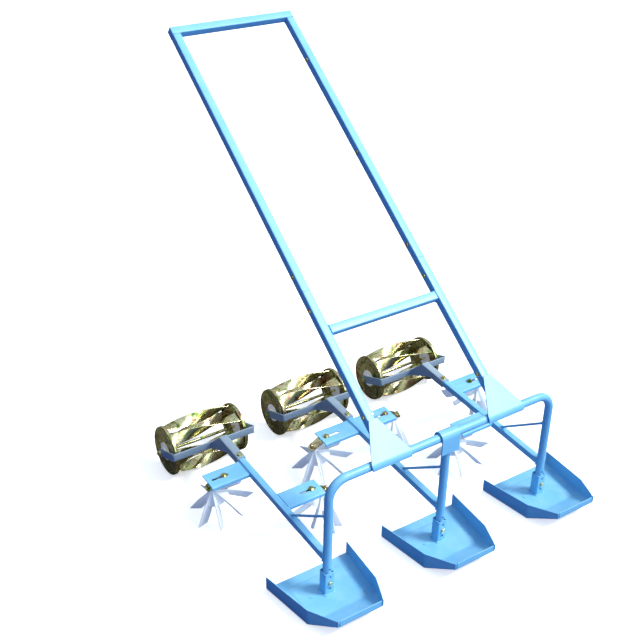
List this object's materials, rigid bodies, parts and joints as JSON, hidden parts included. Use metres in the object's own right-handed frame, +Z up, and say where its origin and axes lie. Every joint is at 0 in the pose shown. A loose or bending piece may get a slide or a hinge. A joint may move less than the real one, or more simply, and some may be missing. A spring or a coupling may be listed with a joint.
{
  "type": "hand-pushed row weeder",
  "caption": "Hand-pushed paddy row weeder: pan skids on an arched pipe frame with a push handle, trailing arms, slotted star wheels and bladed rotors.",
  "frame": {"origin": "On the ground, on the flat sole of the middle skid, directly under the middle strut.", "axes": "The machine travels toward -Y and the operator walks behind it at +Y. The rows lie side by side along X, and +Z is up."},
  "size_m": [0.8634, 1.0099, 0.9671],
  "materials": {
    "blue_paint": "satin sky-blue enamel over steel tube and sheet",
    "grey_blue_paint": "satin dark grey-blue enamel over folded steel",
    "yellow_zinc": "bright yellow-passivated zinc plate",
    "white_plastic": "milky moulded nylon"
  },
  "bodies": {
    "frame": {"front_pipe": "blue_paint", "centre_strut": "blue_paint", "left_gusset": "blue_paint", "right_gusset": "blue_paint", "left_lower_upright": "blue_paint", "right_lower_upright": "blue_paint", "left_upper_upright": "blue_paint", "right_upper_upright": "blue_paint", "left_splice_tube": "yellow_zinc", "right_splice_tube": "yellow_zinc", "crossbar": "blue_paint", "top_bar": "blue_paint", "left_arm": "blue_paint", "left_brace_rod": "blue_paint", "left_rotor_yoke": "grey_blue_paint", "left_yoke_bolt": "yellow_zinc", "left_rotor_axle": "yellow_zinc", "centre_arm": "blue_paint", "centre_brace_rod": "blue_paint", "centre_rotor_yoke": "grey_blue_paint", "centre_yoke_bolt": "yellow_zinc", "centre_rotor_axle": "yellow_zinc", "right_arm": "blue_paint", "right_brace_rod": "blue_paint", "right_rotor_yoke": "grey_blue_paint", "right_yoke_bolt": "yellow_zinc", "right_rotor_axle": "yellow_zinc", "left_outer_star_bracket": "blue_paint", "left_inner_star_bracket": "blue_paint", "centre_left_star_bracket": "blue_paint", "centre_right_star_bracket": "blue_paint", "right_inner_star_bracket": "blue_paint", "right_outer_star_bracket": "blue_paint"},
    "left_skid_unit": {"left_skid": "blue_paint", "left_skid_bolt": "yellow_zinc"},
    "centre_skid_unit": {"centre_skid": "blue_paint", "centre_skid_bolt": "yellow_zinc"},
    "right_skid_unit": {"right_skid": "blue_paint", "right_skid_bolt": "yellow_zinc"},
    "left_rotor": {"left_rotor_drum": "yellow_zinc"},
    "centre_rotor": {"centre_rotor_drum": "yellow_zinc"},
    "right_rotor": {"right_rotor_drum": "yellow_zinc"},
    "left_outer_star_slide": {"left_outer_star_holder": "yellow_zinc", "left_outer_star_pin": "yellow_zinc"},
    "left_outer_star": {"left_outer_star_wheel": "white_plastic"},
    "left_inner_star_slide": {"left_inner_star_holder": "yellow_zinc", "left_inner_star_pin": "yellow_zinc"},
    "left_inner_star": {"left_inner_star_wheel": "white_plastic"},
    "centre_left_star_slide": {"centre_left_star_holder": "yellow_zinc", "centre_left_star_pin": "yellow_zinc"},
    "centre_left_star": {"centre_left_star_wheel": "white_plastic"},
    "centre_right_star_slide": {"centre_right_star_holder": "yellow_zinc", "centre_right_star_pin": "yellow_zinc"},
    "centre_right_star": {"centre_right_star_wheel": "white_plastic"},
    "right_inner_star_slide": {"right_inner_star_holder": "yellow_zinc", "right_inner_star_pin": "yellow_zinc"},
    "right_inner_star": {"right_inner_star_wheel": "white_plastic"},
    "right_outer_star_slide": {"right_outer_star_holder": "yellow_zinc", "right_outer_star_pin": "yellow_zinc"},
    "right_outer_star": {"right_outer_star_wheel": "white_plastic"}
  },
  "joints": [
    {"name": "left_skid_height", "type": "slide", "parent": "frame", "child": "left_skid_unit", "axis": [0, 0, 1], "range_m": [-0.01, 0.012]},
    {"name": "centre_skid_height", "type": "slide", "parent": "frame", "child": "centre_skid_unit", "axis": [0, 0, 1], "range_m": [-0.01, 0.012]},
    {"name": "right_skid_height", "type": "slide", "parent": "frame", "child": "right_skid_unit", "axis": [0, 0, 1], "range_m": [-0.01, 0.012]},
    {"name": "left_rotor_spin", "type": "hinge", "parent": "frame", "child": "left_rotor", "pos_m": [-0.3, 0.545, 0.0605], "axis": [1, 0, 0], "continuous": true},
    {"name": "centre_rotor_spin", "type": "hinge", "parent": "frame", "child": "centre_rotor", "pos_m": [0, 0.545, 0.0605], "axis": [1, 0, 0], "continuous": true},
    {"name": "right_rotor_spin", "type": "hinge", "parent": "frame", "child": "right_rotor", "pos_m": [0.3, 0.545, 0.0605], "axis": [1, 0, 0], "continuous": true},
    {"name": "left_outer_star_adjust", "type": "slide", "parent": "frame", "child": "left_outer_star_slide", "axis": [-1, 0, 0], "range_m": [-0.008, 0.028]},
    {"name": "left_outer_star_spin", "type": "hinge", "parent": "left_outer_star_slide", "child": "left_outer_star", "pos_m": [-0.39778, 0.32208, 0.10258], "axis": [-0.5, -0.0649, 0.8636], "continuous": true},
    {"name": "left_inner_star_adjust", "type": "slide", "parent": "frame", "child": "left_inner_star_slide", "axis": [1, 0, 0], "range_m": [-0.028, 0.008]},
    {"name": "left_inner_star_spin", "type": "hinge", "parent": "left_inner_star_slide", "child": "left_inner_star", "pos_m": [-0.18221, 0.18416, 0.09622], "axis": [0.5, -0.0649, 0.8636], "continuous": true},
    {"name": "centre_left_star_adjust", "type": "slide", "parent": "frame", "child": "centre_left_star_slide", "axis": [-1, 0, 0], "range_m": [-0.019, 0.002]},
    {"name": "centre_left_star_spin", "type": "hinge", "parent": "centre_left_star_slide", "child": "centre_left_star", "pos_m": [-0.12379, 0.32208, 0.10258], "axis": [-0.5, -0.0649, 0.8636], "continuous": true},
    {"name": "centre_right_star_adjust", "type": "slide", "parent": "frame", "child": "centre_right_star_slide", "axis": [1, 0, 0], "range_m": [-0.019, 0.002]},
    {"name": "centre_right_star_spin", "type": "hinge", "parent": "centre_right_star_slide", "child": "centre_right_star", "pos_m": [0.12379, 0.32208, 0.10258], "axis": [0.5, -0.0649, 0.8636], "continuous": true},
    {"name": "right_inner_star_adjust", "type": "slide", "parent": "frame", "child": "right_inner_star_slide", "axis": [-1, 0, 0], "range_m": [-0.03, 0.006]},
    {"name": "right_inner_star_spin", "type": "hinge", "parent": "right_inner_star_slide", "child": "right_inner_star", "pos_m": [0.18021, 0.18416, 0.09622], "axis": [-0.5, -0.0649, 0.8636], "continuous": true},
    {"name": "right_outer_star_adjust", "type": "slide", "parent": "frame", "child": "right_outer_star_slide", "axis": [1, 0, 0], "range_m": [-0.003, 0.033]},
    {"name": "right_outer_star_spin", "type": "hinge", "parent": "right_outer_star_slide", "child": "right_outer_star", "pos_m": [0.39278, 0.32208, 0.10258], "axis": [0.5, -0.0649, 0.8636], "continuous": true}
  ]
}
